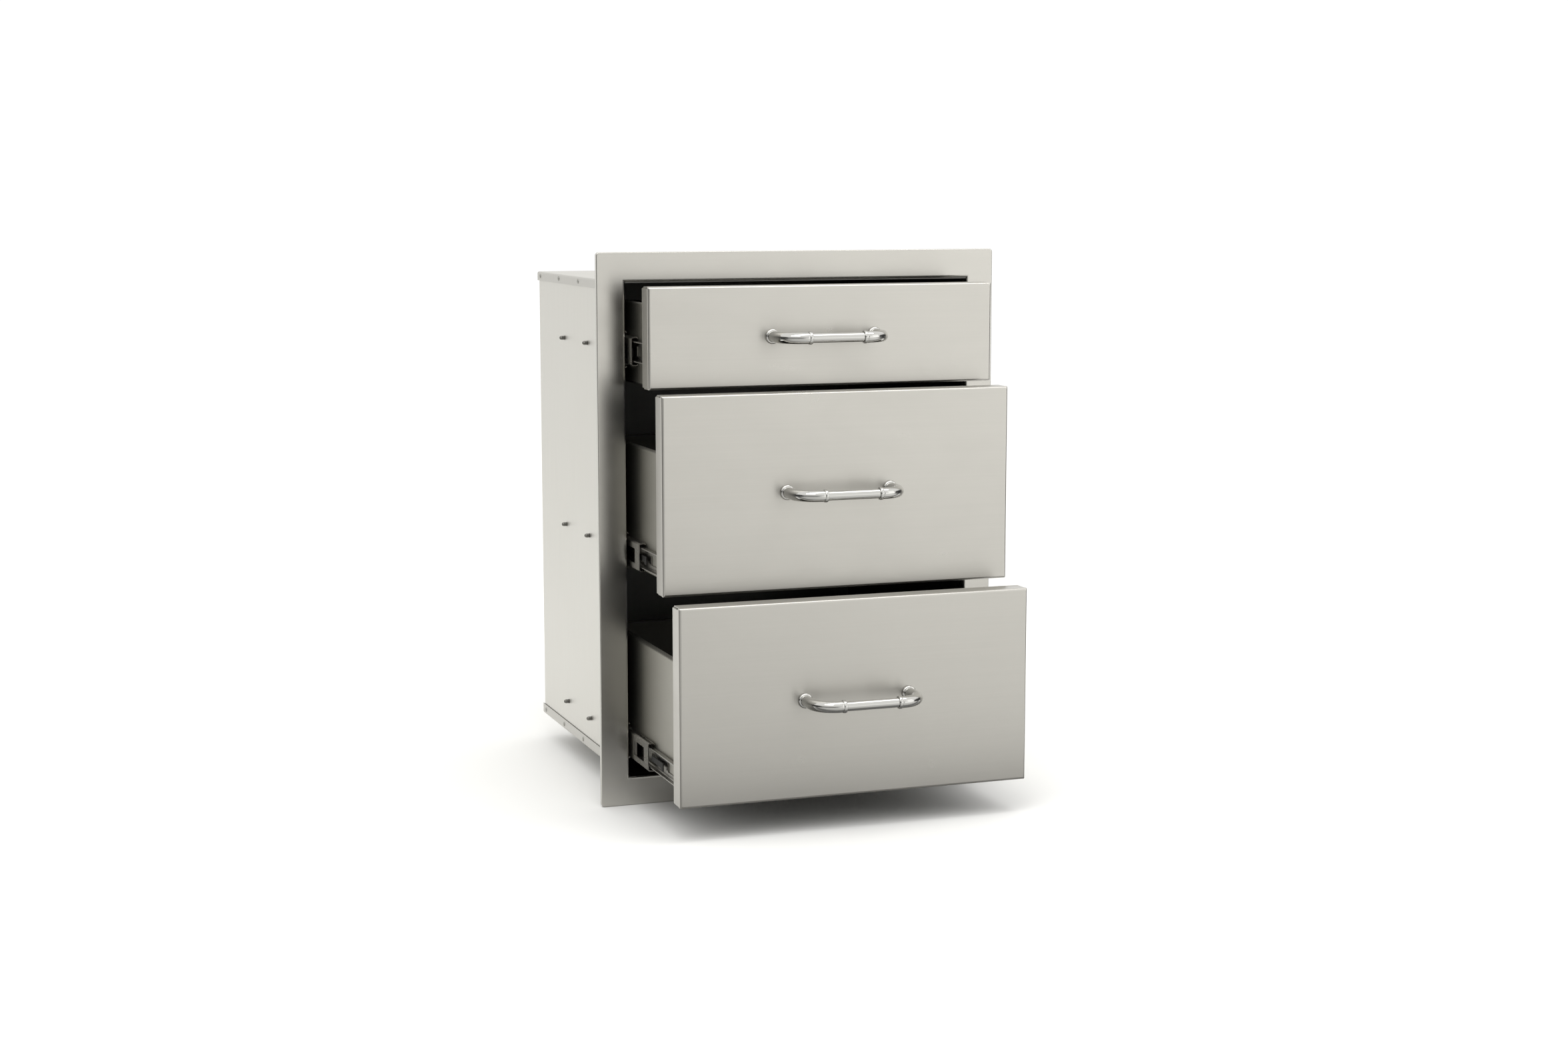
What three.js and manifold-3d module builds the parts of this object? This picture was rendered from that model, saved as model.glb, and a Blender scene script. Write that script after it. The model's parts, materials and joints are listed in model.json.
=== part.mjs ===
// A built-in outdoor kitchen drawer unit: a stainless steel box with a flat face frame and three
// drawers, each carried on a pair of full-extension ball-bearing slides.
// Millimetres, X to the right, Y into the cabinet, Z up. The origin lies on the plane where the
// face frame's lip bears on the island, at the middle of the bottom edge.
import * as THREE from "three";
import { mergeVertices } from "three/addons/utils/BufferGeometryUtils.js";
import Module from "manifold-3d";

const wasm = await Module();
wasm.setup();

// Gaps and the overrun of cutting bodies
const seatGap = 0.3;
const runClearance = 0.3;
const holeClearance = 0.3;
const cutOverrun = 5;

// Face frame
const frameWidth = 521;
const frameHeight = 683;
const frameRim = 35.8;
const frameGauge = 1;
const frameLipDepth = 6;
const frameCornerRadius = 4;
const frameEdgeRadius = 1.5;
const frameReturnDepth = 12;

// Cabinet box
const boxDepth = 416;
const panelGauge = 1;
const panelBendRadius = 2;
const topBandHeight = 12;
const bottomBandHeight = 13.7;
const rearFlangeWidth = 16;

// Blind rivets in the box seams
const rivetHeadRadius = 3.2;
const rivetHeadHeight = 1.1;
const rivetShankRadius = 1.6;
const rivetTailLength = 2;
const rivetPitch = 98;
const rivetRearInset = 15;
const rivetsPerSeam = 3;
const backRivetInset = 70;
const backRivetsPerSide = 2;
const backBandRivetSpread = 260;

// Ball-bearing slides, the three members telescoped in one another
const slideThickness = 12.7;
const slideGauge = 1.2;
const slideHeight = 45;
const slideLength = 380;
const slideCornerRadius = 1.5;
const slideLipRadius = 0.8;
const slideLipDrop = 1.6;
const slideFrontSetback = 27;
const slideScrewFirst = 140;
const slideScrewPitch = 114.5;
const slideScrewCount = 2;
const middleLength = 372;
const innerLength = 370;
const ballDiameter = 3.8;
const raceDepth = 0.3;
const raceHalfWidth = 1;
const outerBallU = 6.9;
const innerBallU = 8.9;
const windowLength = 44;
const windowHeight = 18;
const windowSetback = 18;
const accessHoleRadius = 5;
const accessHoleSpread = 110;
const slotLength = 26;
const slotHeight = 12;
const innerScrewFirst = 105;
const innerScrewPitch = 192;
const innerScrewCount = 2;
const stopTabHeight = 9;

// Ball cages
const cageGauge = 0.5;
const cageLength = 160;
const cageSetback = 103;
const cageBridgeWidth = 10;
const cageWebMargin = 4;
const cageBendRadius = 0.8;
const ballsPerRow = 3;
const ballRowInset = 14;
const cageReachShare = 0.7;

// Release levers on the inner members
const leverLength = 46;
const leverHeight = 7;
const leverGauge = 1.2;
const leverSetback = 50;
const leverBossRadius = 3;
const leverHookLength = 8;
const leverHookRise = 3;

// Pan-head screws
const screwHeadRadius = 4;
const screwHeadHeight = 1.2;
const screwShankRadius = 2.4;
const screwTipLength = 2;
const screwTopShare = 0.7;
const slideScrewReach = 6.5;
const trayScrewReach = 4;
const handleScrewReach = 6;

// Drawer fronts
const frontDepth = 25;
const frontGauge = 1;
const frontBendRadius = 3;
const frontCornerRadius = 1.2;
const frontSideGap = 3.5;
const frontTopGap = 3.4;
const frontBottomGap = 5.9;
const frontGap = 3;
const cornerSlotWidth = 2;
const cornerSlotStart = 5;
const backingFlange = 12;

// Drawer trays
const trayLength = 374;
const trayGauge = 0.9;
const trayBendRadius = 2;
const trayHemWidth = 9;
const trayHemDrop = 6;
const trayHemRadius = 1.5;
const trayFlangeWidth = 15;
const trayScrewInset = 24;
const trayBackDrop = 12;

// Handles
const handleSpan = 132;
const handleStandoff = 47;
const handleBend = 27;
const elbowRadius = 7;
const rosetteRadius = 9.2;
const rosetteHeight = 3.5;
const beadRadius = 7.8;
const beadLength = 4.2;
const beadCentre = 35;
const gripRadius = 5.8;
const gripSocketDepth = 6;

// The three drawers, top to bottom. Each stands open by its own amount.
const shallowFrontShare = 0.2042;
const shallowTrayHeight = 98.8;
const deepTrayHeight = 150;
const shallowTrayRise = 1.5;
const deepTrayRise = 15.7;
const shallowSlideRise = 41.9;
const deepSlideRise = 34.3;
const topOpen = 84;
const middleOpen = 136.4;
const bottomOpen = 198.8;

// Shares of the drawer's travel that the middle member and the two cages make
const middleTravelShare = 0.5;
const outerCageTravelShare = 0.25;
const innerCageTravelShare = 0.75;

// Facet counts
const bendSteps = 2;
const smallBendSteps = 1;
const roundSides = 10;
const holeSides = 8;
const screwSides = 6;
const ballSides = 4;
const ballRings = 3;
const elbowSteps = 5;

// Places that follow from the sizes
const faceY = -frameLipDepth;
const frameBottom = -frameGauge / 2;
const frameTop = frameBottom + frameHeight;
const openingWidth = frameWidth - 2 * frameRim;
const openingBottom = frameBottom + frameRim;
const openingTop = frameTop - frameRim;
const sideInnerX = openingWidth / 2 + frameGauge + seatGap;
const sideOuterX = sideInnerX + panelGauge;
const bandOuterX = sideOuterX + seatGap + panelGauge;
const topPanelZ = openingTop - seatGap;
const bottomPanelZ = openingBottom - frameGauge - seatGap - panelGauge;
const panelEdgeInset = panelGauge + panelBendRadius;
const boxFrontY = faceY + frameGauge + seatGap;
const boxBackY = faceY + boxDepth;
const backPanelY = boxBackY - panelGauge - seatGap;
const sideBackY = backPanelY - panelGauge - seatGap;
const slideBaseX = sideInnerX - seatGap;
const slideFrontY = faceY + slideFrontSetback;
const ballRadius = ballDiameter / 2;
const raceGap = ballDiameter + 2 * runClearance - 2 * raceDepth;
const outerHalf = slideHeight / 2;
const middleHalf = outerHalf - slideGauge - raceGap;
const innerHalf = middleHalf - slideGauge - raceGap;
const outerCageU = slideGauge + screwHeadHeight + runClearance;
const middleWebU = outerCageU + cageGauge + runClearance;
const innerCageU = middleWebU + slideGauge + runClearance;
const innerTipU = innerCageU + cageGauge + runClearance;
const outerLipU = outerBallU + ballRadius + runClearance + slideGauge / 2;
const middleLipU = innerBallU + ballRadius + runClearance + slideGauge / 2;
const trayHalfWidth = slideBaseX - slideThickness - seatGap;
const frontWidth = openingWidth - 2 * frontSideGap;
const frontsHeight = openingTop - openingBottom - frontTopGap - 2 * frontGap - frontBottomGap;
const shallowFrontHeight = frontsHeight * shallowFrontShare;
const deepFrontHeight = (frontsHeight - shallowFrontHeight) / 2;
const trayFrontY = frontDepth + seatGap;
const innerFrontY = frontDepth + 2 * seatGap + trayGauge;
const shankHoleRadius = (screwShankRadius + holeClearance) / Math.cos(Math.PI / screwSides);

// Materials, one for each kind of surface
const brushed = new THREE.MeshStandardMaterial({ color: 0xc9c6bd, roughness: 0.34, metalness: 0.9 });
const plainSteel = new THREE.MeshStandardMaterial({ color: 0xd6d4ca, roughness: 0.5, metalness: 0.8 });
const traySteel = new THREE.MeshStandardMaterial({ color: 0xa9a79d, roughness: 0.42, metalness: 0.85 });
const zincPlate = new THREE.MeshStandardMaterial({ color: 0x9b9a92, roughness: 0.4, metalness: 0.9 });
const chrome = new THREE.MeshStandardMaterial({ color: 0xe4e2dc, roughness: 0.06, metalness: 1 });
const leverPlastic = new THREE.MeshStandardMaterial({ color: 0x55534e, roughness: 0.6, metalness: 0 });

// Joining and cutting

function toSolid(geometry) {
  const bare = geometry.index ? geometry.toNonIndexed() : geometry.clone();
  bare.deleteAttribute("normal");
  bare.deleteAttribute("uv");
  const merged = mergeVertices(bare);
  return new wasm.Manifold(
    new wasm.Mesh({
      numProp: 3,
      vertProperties: new Float32Array(merged.attributes.position.array),
      triVerts: new Uint32Array(merged.index.array),
    }),
  );
}

function toGeometry(solid) {
  const mesh = solid.getMesh();
  const geometry = new THREE.BufferGeometry();
  const positions = new Float32Array(mesh.triVerts.length * 3);
  mesh.triVerts.forEach((vertex, corner) => {
    for (let axis = 0; axis < 3; axis += 1) {
      positions[corner * 3 + axis] = mesh.vertProperties[vertex * mesh.numProp + axis];
    }
  });
  geometry.setAttribute("position", new THREE.BufferAttribute(positions, 3));
  geometry.computeVertexNormals();
  return geometry;
}

// Joins the first list of geometries and cuts the second list away.
function carve(added, removed = []) {
  let solid = toSolid(added[0]);
  for (const piece of added.slice(1)) solid = solid.add(toSolid(piece));
  for (const piece of removed) solid = solid.subtract(toSolid(piece));
  return toGeometry(solid);
}

// The same geometry mirrored left to right, its faces turned to stay outward
function mirrored(geometry) {
  const loose = geometry.index ? geometry.toNonIndexed() : geometry.clone();
  const place = loose.attributes.position;
  for (let corner = 0; corner < place.count; corner += 3) {
    const points = [0, 1, 2].map((k) => new THREE.Vector3().fromBufferAttribute(place, corner + k));
    points.reverse().forEach((point, k) => place.setXYZ(corner + k, -point.x, point.y, point.z));
  }
  loose.computeVertexNormals();
  return loose;
}

// Basic forms

function block(x0, x1, y0, y1, z0, z1) {
  const geometry = new THREE.BoxGeometry(x1 - x0, y1 - y0, z1 - z0);
  return geometry.translate((x0 + x1) / 2, (y0 + y1) / 2, (z0 + z1) / 2);
}

// A round bar along X, Y or Z from one place to another
function bar(axis, radius, from, to, a, b, sides = screwSides) {
  const geometry = new THREE.CylinderGeometry(radius, radius, to - from, sides);
  const middle = (from + to) / 2;
  if (axis === "x") return geometry.rotateZ(-Math.PI / 2).translate(middle, a, b);
  if (axis === "y") return geometry.translate(a, middle, b);
  return geometry.rotateX(Math.PI / 2).translate(a, b, middle);
}

function extruded(shape, length) {
  return new THREE.ExtrudeGeometry(shape, { depth: length, bevelEnabled: false, steps: 1 });
}

// A section in X and Z, run along Y
function alongY(shape, y0, y1) {
  return extruded(shape, y1 - y0).rotateX(Math.PI / 2).translate(0, y1, 0);
}

// A section in Y and Z, run along X
function alongX(shape, x0, x1) {
  const turn = new THREE.Matrix4().set(0, 0, 1, 0, 1, 0, 0, 0, 0, 1, 0, 0, 0, 0, 0, 1);
  return extruded(shape, x1 - x0).applyMatrix4(turn).translate(x0, 0, 0);
}

// Corners [x, y, radius] of a bent sheet's centreline, with an arc at each rounded one
function bentPath(corners, steps = bendSteps) {
  const path = [];
  corners.forEach(([x, y, radius = 0], i) => {
    const here = new THREE.Vector2(x, y);
    if (!radius) {
      path.push(here);
      return;
    }
    const back = new THREE.Vector2(...corners[i - 1]).sub(here).normalize();
    const ahead = new THREE.Vector2(...corners[i + 1]).sub(here).normalize();
    const halfAngle = Math.acos(back.dot(ahead)) / 2;
    const centre = back.clone().add(ahead).normalize().multiplyScalar(radius / Math.sin(halfAngle));
    const reach = radius / Math.tan(halfAngle);
    const from = back.clone().multiplyScalar(reach).sub(centre);
    const to = ahead.clone().multiplyScalar(reach).sub(centre);
    const sweep = Math.atan2(from.cross(to), from.dot(to));
    for (let step = 0; step <= steps; step += 1) {
      const turned = from.clone().rotateAround(new THREE.Vector2(), (sweep * step) / steps);
      path.push(turned.add(centre).add(here));
    }
  });
  return path;
}

// The outline of a sheet of one thickness that follows a centreline
function sheetSection(path, gauge) {
  const normals = path.slice(1).map((point, i) => {
    const run = point.clone().sub(path[i]).normalize();
    return new THREE.Vector2(-run.y, run.x);
  });
  const offsets = path.map((point, i) => {
    const before = normals[Math.max(i - 1, 0)];
    const after = normals[Math.min(i, normals.length - 1)];
    return before.clone().add(after).multiplyScalar(gauge / 2 / (1 + before.dot(after)));
  });
  const left = path.map((point, i) => point.clone().add(offsets[i]));
  const right = path.map((point, i) => point.clone().sub(offsets[i]));
  return new THREE.Shape([...left, ...right.reverse()]);
}

// A rectangle with rounded corners in X and Z at one depth, as a ring of points
function roundedRing(halfWidth, bottom, top, radius, y) {
  const ring = [];
  const signs = [[1, 1], [-1, 1], [-1, -1], [1, -1]];
  signs.forEach(([sx, sz], quarter) => {
    const cx = sx * (halfWidth - radius);
    const cz = sz > 0 ? top - radius : bottom + radius;
    for (let step = 0; step <= bendSteps; step += 1) {
      const angle = (quarter + step / bendSteps) * (Math.PI / 2);
      ring.push(new THREE.Vector3(cx + radius * Math.cos(angle), y, cz + radius * Math.sin(angle)));
    }
  });
  return ring;
}

// A closed body through rings of equal count, closed at both ends by fans
function lofted(rings) {
  const positions = [];
  const corner = (point) => positions.push(point.x, point.y, point.z);
  const count = rings[0].length;
  for (let i = 0; i + 1 < rings.length; i += 1) {
    for (let k = 0; k < count; k += 1) {
      const next = (k + 1) % count;
      [rings[i][k], rings[i][next], rings[i + 1][next]].forEach(corner);
      [rings[i][k], rings[i + 1][next], rings[i + 1][k]].forEach(corner);
    }
  }
  const last = rings[rings.length - 1];
  for (let k = 1; k + 1 < count; k += 1) {
    [rings[0][0], rings[0][k + 1], rings[0][k]].forEach(corner);
    [last[0], last[k], last[k + 1]].forEach(corner);
  }
  const geometry = new THREE.BufferGeometry();
  geometry.setAttribute("position", new THREE.Float32BufferAttribute(positions, 3));
  return geometry;
}

// A block whose front edges are bent to a radius, as a folded pan's are
function bentBlock(halfWidth, bottom, top, cornerRadius, edgeRadius, y0, y1) {
  const rings = [];
  for (let step = 0; step <= bendSteps; step += 1) {
    const angle = (step / bendSteps) * (Math.PI / 2);
    const inset = edgeRadius * (1 - Math.sin(angle));
    const y = y0 + edgeRadius * (1 - Math.cos(angle));
    rings.push(roundedRing(halfWidth - inset, bottom + inset, top - inset, cornerRadius, y));
  }
  rings.push(roundedRing(halfWidth, bottom, top, cornerRadius, y1));
  return lofted(rings.reverse());
}

// A pan: the bent block with a hollow of the same form behind its front sheet
function pan(halfWidth, bottom, top, cornerRadius, edgeRadius, gauge, y0, y1) {
  const outer = bentBlock(halfWidth, bottom, top, cornerRadius, edgeRadius, y0, y1);
  const hollow = bentBlock(
    halfWidth - gauge,
    bottom + gauge,
    top - gauge,
    cornerRadius / 2,
    edgeRadius - gauge / 2,
    y0 + gauge,
    y1 + cutOverrun,
  );
  return { outer, hollow };
}

// A pan-head screw: its head's underside at zero, its shank along +Z
function screw(reach) {
  const profile = [
    new THREE.Vector2(0, -screwHeadHeight),
    new THREE.Vector2(screwHeadRadius * screwTopShare, -screwHeadHeight),
    new THREE.Vector2(screwHeadRadius, 0),
    new THREE.Vector2(screwShankRadius, 0),
    new THREE.Vector2(screwShankRadius, reach - screwTipLength),
    new THREE.Vector2(0, reach),
  ];
  return new THREE.LatheGeometry(profile, screwSides).rotateX(Math.PI / 2);
}

// Turns a piece that points along +Z to point along X or Y, forwards or back
function aimed(geometry, axis, sign) {
  if (axis === "x") return geometry.rotateY((sign * Math.PI) / 2);
  return geometry.rotateX((-sign * Math.PI) / 2);
}

function node(name, geometry, material) {
  const mesh = new THREE.Mesh(geometry, material);
  mesh.name = name;
  return mesh;
}

// Where the drawers lie, worked out from the top down
function drawerPlans() {
  const shallow = {
    height: shallowFrontHeight,
    trayHeight: shallowTrayHeight,
    trayRise: shallowTrayRise,
    slideRise: shallowSlideRise,
  };
  const deep = {
    height: deepFrontHeight,
    trayHeight: deepTrayHeight,
    trayRise: deepTrayRise,
    slideRise: deepSlideRise,
  };
  const plans = [
    { name: "top", open: topOpen, ...shallow },
    { name: "middle", open: middleOpen, ...deep },
    { name: "bottom", open: bottomOpen, ...deep },
  ];
  let top = openingTop - frontTopGap;
  for (const plan of plans) {
    plan.bottom = top - plan.height;
    plan.slideZ = plan.bottom + plan.slideRise;
    top = plan.bottom - frontGap;
  }
  return plans;
}

const plans = drawerPlans();

function slideScrewPlaces() {
  return Array.from(
    { length: slideScrewCount },
    (_, i) => slideFrontY + slideScrewFirst + i * slideScrewPitch,
  );
}

function rivetPlaces() {
  return Array.from({ length: rivetsPerSeam }, (_, i) => boxBackY - rivetRearInset - i * rivetPitch);
}

// Face frame: one pan with an outer lip and a return round the opening

function faceFrame() {
  const { outer, hollow } = pan(
    frameWidth / 2,
    frameBottom,
    frameTop,
    frameCornerRadius,
    frameEdgeRadius,
    frameGauge,
    faceY,
    0,
  );
  const half = openingWidth / 2;
  const returns = block(
    -half - frameGauge,
    half + frameGauge,
    faceY + frameGauge / 2,
    faceY + frameReturnDepth,
    openingBottom - frameGauge,
    openingTop + frameGauge,
  );
  const opening = block(
    -half,
    half,
    faceY - cutOverrun,
    faceY + frameReturnDepth + cutOverrun,
    openingBottom,
    openingTop,
  );
  const shell = toSolid(outer).subtract(toSolid(hollow));
  return toGeometry(shell.add(toSolid(returns)).subtract(toSolid(opening)));
}

// Box panels

// Seam rivet places on the top and bottom bands: [y, z]
const seamPlaces = [];
for (const y of rivetPlaces()) {
  seamPlaces.push([y, topPanelZ - topBandHeight / 2]);
  seamPlaces.push([y, bottomPanelZ + bottomBandHeight / 2]);
}

// Rivet places on the back panel, through the side flanges: [x, z]
const backSidePlaces = [];
for (let i = 0; i < backRivetsPerSide; i += 1) {
  const low = bottomPanelZ + backRivetInset;
  const span = topPanelZ - bottomPanelZ - 2 * backRivetInset;
  backSidePlaces.push([sideInnerX - rearFlangeWidth / 2, low + (i * span) / (backRivetsPerSide - 1)]);
}
const backBandRivetX = backBandRivetSpread / 2;
const rivetHoleRadius = rivetShankRadius + holeClearance;

function sidePanel() {
  const centre = sideInnerX + panelGauge / 2;
  const rear = sideBackY - panelGauge / 2;
  const path = bentPath([
    [centre, boxFrontY],
    [centre, rear, panelBendRadius],
    [sideInnerX - rearFlangeWidth, rear],
  ]);
  const bottom = bottomPanelZ + panelEdgeInset;
  const top = topPanelZ - panelEdgeInset;
  const sheet = extruded(sheetSection(path, panelGauge), top - bottom).translate(0, 0, bottom);
  const from = sideInnerX - cutOverrun;
  const to = sideOuterX + cutOverrun;
  const holes = seamPlaces.map(([y, z]) => bar("x", rivetHoleRadius, from, to, y, z));
  for (const [x, z] of backSidePlaces) {
    holes.push(bar("y", rivetHoleRadius, sideBackY - cutOverrun, sideBackY + cutOverrun, x, z));
  }
  for (const plan of plans) {
    for (const y of slideScrewPlaces()) {
      holes.push(bar("x", shankHoleRadius, from, to, y, plan.slideZ));
    }
  }
  return carve([sheet], holes);
}

// A blind rivet along +Z: its head's underside at zero, its tail behind the joined sheets
function rivet() {
  const grip = 2 * panelGauge + 2 * seatGap;
  const profile = [
    new THREE.Vector2(0, -rivetHeadHeight),
    new THREE.Vector2(rivetHeadRadius, 0),
    new THREE.Vector2(rivetShankRadius, 0),
    new THREE.Vector2(rivetShankRadius, grip),
    new THREE.Vector2(0, grip + rivetTailLength),
  ];
  return new THREE.LatheGeometry(profile, screwSides).rotateX(Math.PI / 2);
}

// The top or bottom panel: a sheet with a band folded over both sides and the back, and its rivets.
// The sheet's outer face is at z, and its bands run from there by the signed height.
function endPanel(z, bandHeight) {
  const towards = Math.sign(bandHeight);
  const centre = bandOuterX - panelGauge / 2;
  const sheetZ = z + (towards * panelGauge) / 2;
  const bandStart = faceY + frameReturnDepth + seatGap;
  const path = bentPath([
    [-centre, z + bandHeight],
    [-centre, sheetZ, panelBendRadius],
    [centre, sheetZ, panelBendRadius],
    [centre, z + bandHeight],
  ]);
  const folded = alongY(sheetSection(path, panelGauge), bandStart, boxBackY);
  const half = openingWidth / 2 - seatGap;
  const lowZ = Math.min(z, z + towards * panelGauge);
  const tongue = block(-half, half, boxFrontY, bandStart + cutOverrun, lowZ, lowZ + panelGauge);
  const bandLow = Math.min(z, z + bandHeight);
  const bandHigh = bandLow + Math.abs(bandHeight);
  const reach = bandOuterX - panelGauge - panelBendRadius;
  const rear = block(-reach, reach, boxBackY - panelGauge, boxBackY, bandLow, bandHigh);
  const added = [folded, tongue, rear];
  const seamZ = z + bandHeight / 2;
  for (const side of [-1, 1]) {
    for (const y of rivetPlaces()) {
      added.push(aimed(rivet(), "x", -side).translate(side * bandOuterX, y, seamZ));
    }
    added.push(aimed(rivet(), "y", -1).translate(side * backBandRivetX, boxBackY, seamZ));
  }
  return carve(added);
}

function backPanel() {
  const bottom = bottomPanelZ + panelEdgeInset;
  const top = topPanelZ - panelEdgeInset;
  const added = [block(-sideInnerX, sideInnerX, backPanelY - panelGauge, backPanelY, bottom, top)];
  const holes = [];
  for (const side of [-1, 1]) {
    for (const [x, z] of backSidePlaces) {
      added.push(aimed(rivet(), "y", -1).translate(side * x, backPanelY, z));
    }
    for (const z of [topPanelZ - topBandHeight / 2, bottomPanelZ + bottomBandHeight / 2]) {
      const from = backPanelY - cutOverrun;
      const to = backPanelY + cutOverrun;
      holes.push(bar("y", rivetHoleRadius, from, to, side * backBandRivetX, z));
    }
  }
  return carve(added, holes);
}

// Slide members, in the slide's own frame: X from the cabinet side to the drawer, Z from the centre

// A rolled race across a flange, from one side to the other, bowed by its depth
function race(ballU, flange, bow, towards) {
  const shares = [-1, 0, 1];
  return shares.map((share) => [
    ballU + towards * share * raceHalfWidth,
    flange + bow * (1 - share * share),
  ]);
}

// A member's section from its upper half, the lower half being the same
function memberSection(upper) {
  const lower = upper.map(([x, z, radius]) => [x, -z, radius]).reverse();
  return sheetSection(bentPath([...upper, ...lower], smallBendSteps), slideGauge);
}

function outerSection() {
  const flange = outerHalf - slideGauge / 2;
  return memberSection([
    [outerLipU, flange - slideLipDrop],
    [outerLipU, flange, slideLipRadius],
    ...race(outerBallU, flange, raceDepth, -1),
    [slideGauge / 2, flange, slideCornerRadius],
  ]);
}

function middleSection() {
  const flange = middleHalf - slideGauge / 2;
  return memberSection([
    [middleLipU, flange - slideLipDrop],
    [middleLipU, flange, slideLipRadius],
    ...race(innerBallU, flange, raceDepth, -1),
    ...race(outerBallU, flange, -raceDepth, -1).slice(1),
    [middleWebU + slideGauge / 2, flange, slideCornerRadius],
  ]);
}

function innerSection() {
  const flange = innerHalf - slideGauge / 2;
  return memberSection([
    [innerTipU, flange],
    ...race(innerBallU, flange, -raceDepth, 1),
    [slideThickness - slideGauge / 2, flange, slideCornerRadius],
  ]);
}

function outerMember() {
  const reach = slideGauge + 2 * seatGap + panelGauge + slideScrewReach;
  const screws = slideScrewPlaces().map((y) =>
    aimed(screw(reach), "x", -1).translate(slideGauge, y, 0),
  );
  const stop = block(
    slideGauge / 2,
    outerCageU - runClearance,
    slideFrontY + slideLength - slideGauge,
    slideFrontY + slideLength,
    -stopTabHeight,
    stopTabHeight,
  );
  const rail = alongY(outerSection(), slideFrontY, slideFrontY + slideLength);
  return carve([rail, stop, ...screws]);
}

function middleMember() {
  const low = middleWebU - runClearance;
  const high = middleWebU + slideGauge + runClearance;
  const half = windowHeight / 2;
  const windowStart = slideFrontY + windowSetback;
  const cuts = [block(low, high, windowStart, windowStart + windowLength, -half, half)];
  for (const side of [-1, 1]) {
    const y = slideFrontY + middleLength / 2 + (side * accessHoleSpread) / 2;
    cuts.push(bar("x", accessHoleRadius, low, high, y, 0, holeSides));
  }
  return carve([alongY(middleSection(), slideFrontY, slideFrontY + middleLength)], cuts);
}

function innerScrewPlaces() {
  return Array.from(
    { length: innerScrewCount },
    (_, i) => innerFrontY + innerScrewFirst + i * innerScrewPitch,
  );
}

function innerMember() {
  const low = slideThickness - slideGauge - cutOverrun / 2;
  const high = slideThickness + cutOverrun / 2;
  const reach = slideGauge + seatGap + trayGauge + trayScrewReach;
  const screws = innerScrewPlaces().map((y) =>
    aimed(screw(reach), "x", 1).translate(slideThickness - slideGauge, y, 0),
  );
  const cuts = [];
  const start = innerFrontY + windowSetback;
  cuts.push(block(low, high, start, start + slotLength, -slotHeight / 2, slotHeight / 2));
  const boss = innerFrontY + leverSetback + leverLength / 2;
  cuts.push(bar("x", leverBossRadius - slideGauge, low, high, boss, 0));
  return carve([alongY(innerSection(), innerFrontY, innerFrontY + innerLength), ...screws], cuts);
}

// A lever lying in the inner member's channel, on a boss that seats on the web
function releaseLever() {
  const low = innerTipU + leverGauge;
  const start = innerFrontY + leverSetback;
  const half = leverHeight / 2;
  const arm = block(low, low + leverGauge, start, start + leverLength, -half, half);
  const hook = block(
    low,
    low + leverGauge,
    start,
    start + leverHookLength,
    -half - leverHookRise,
    -half + leverGauge,
  );
  const seat = slideThickness - slideGauge - seatGap;
  const middle = start + leverLength / 2;
  const boss = bar("x", leverBossRadius, low + leverGauge / 2, seat, middle, 0);
  const studRadius = leverBossRadius - slideGauge - holeClearance;
  const stud = bar("x", studRadius, seat - leverGauge, slideThickness, middle, 0);
  return carve([arm, hook, boss, stud]);
}

// A ball cage: a folded strip with its balls, at the slide's closed place
function ballCage(webU, half, ballU) {
  const rowZ = half + raceGap / 2;
  const centre = webU + cageGauge / 2;
  const tip = ballU + ballRadius * cageReachShare;
  const corners = [
    [tip, rowZ],
    [centre, rowZ, cageBendRadius],
    [centre, -rowZ, cageBendRadius],
    [tip, -rowZ],
  ];
  const path = bentPath(corners, smallBendSteps);
  const start = slideFrontY + cageSetback;
  const strip = alongY(sheetSection(path, cageGauge), start, start + cageLength);
  const opening = block(
    webU - runClearance,
    webU + cageGauge + runClearance,
    start + cageBridgeWidth,
    start + cageLength - cageBridgeWidth,
    -rowZ + cageWebMargin,
    rowZ - cageWebMargin,
  );
  const balls = [];
  const step = (cageLength - 2 * ballRowInset) / (ballsPerRow - 1);
  for (let i = 0; i < ballsPerRow; i += 1) {
    for (const side of [-1, 1]) {
      const ball = new THREE.SphereGeometry(ballRadius, ballSides, ballRings);
      balls.push(ball.translate(ballU, start + ballRowInset + i * step, side * rowZ));
    }
  }
  return carve([strip, ...balls], [opening]);
}

// Drawer parts, in the drawer's own frame: Y from the front's face, Z from the front's bottom edge

function drawerFront(plan) {
  const { outer, hollow } = pan(
    frontWidth / 2,
    0,
    plan.height,
    frontCornerRadius,
    frontBendRadius,
    frontGauge,
    0,
    frontDepth,
  );
  const cuts = [hollow];
  for (const side of [-1, 1]) {
    const edge = (side * frontWidth) / 2;
    const x0 = Math.min(edge - side * cornerSlotWidth, edge + side * cutOverrun);
    const x1 = Math.max(edge - side * cornerSlotWidth, edge + side * cutOverrun);
    const y1 = frontDepth + cutOverrun;
    cuts.push(block(x0, x1, cornerSlotStart, y1, -cutOverrun, cornerSlotWidth));
    cuts.push(block(x0, x1, cornerSlotStart, y1, plan.height - cornerSlotWidth, plan.height + cutOverrun));
    const x = (side * handleSpan) / 2;
    cuts.push(bar("y", shankHoleRadius, -cutOverrun, frontGauge + cutOverrun, x, plan.height / 2));
  }
  return carve([outer], cuts);
}

function trayScrewHeights(plan) {
  const low = plan.trayRise + trayScrewInset;
  return [low, plan.trayRise + plan.trayHeight - trayScrewInset];
}
const trayScrewX = trayHalfWidth - trayGauge - trayFlangeWidth / 2;

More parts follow.
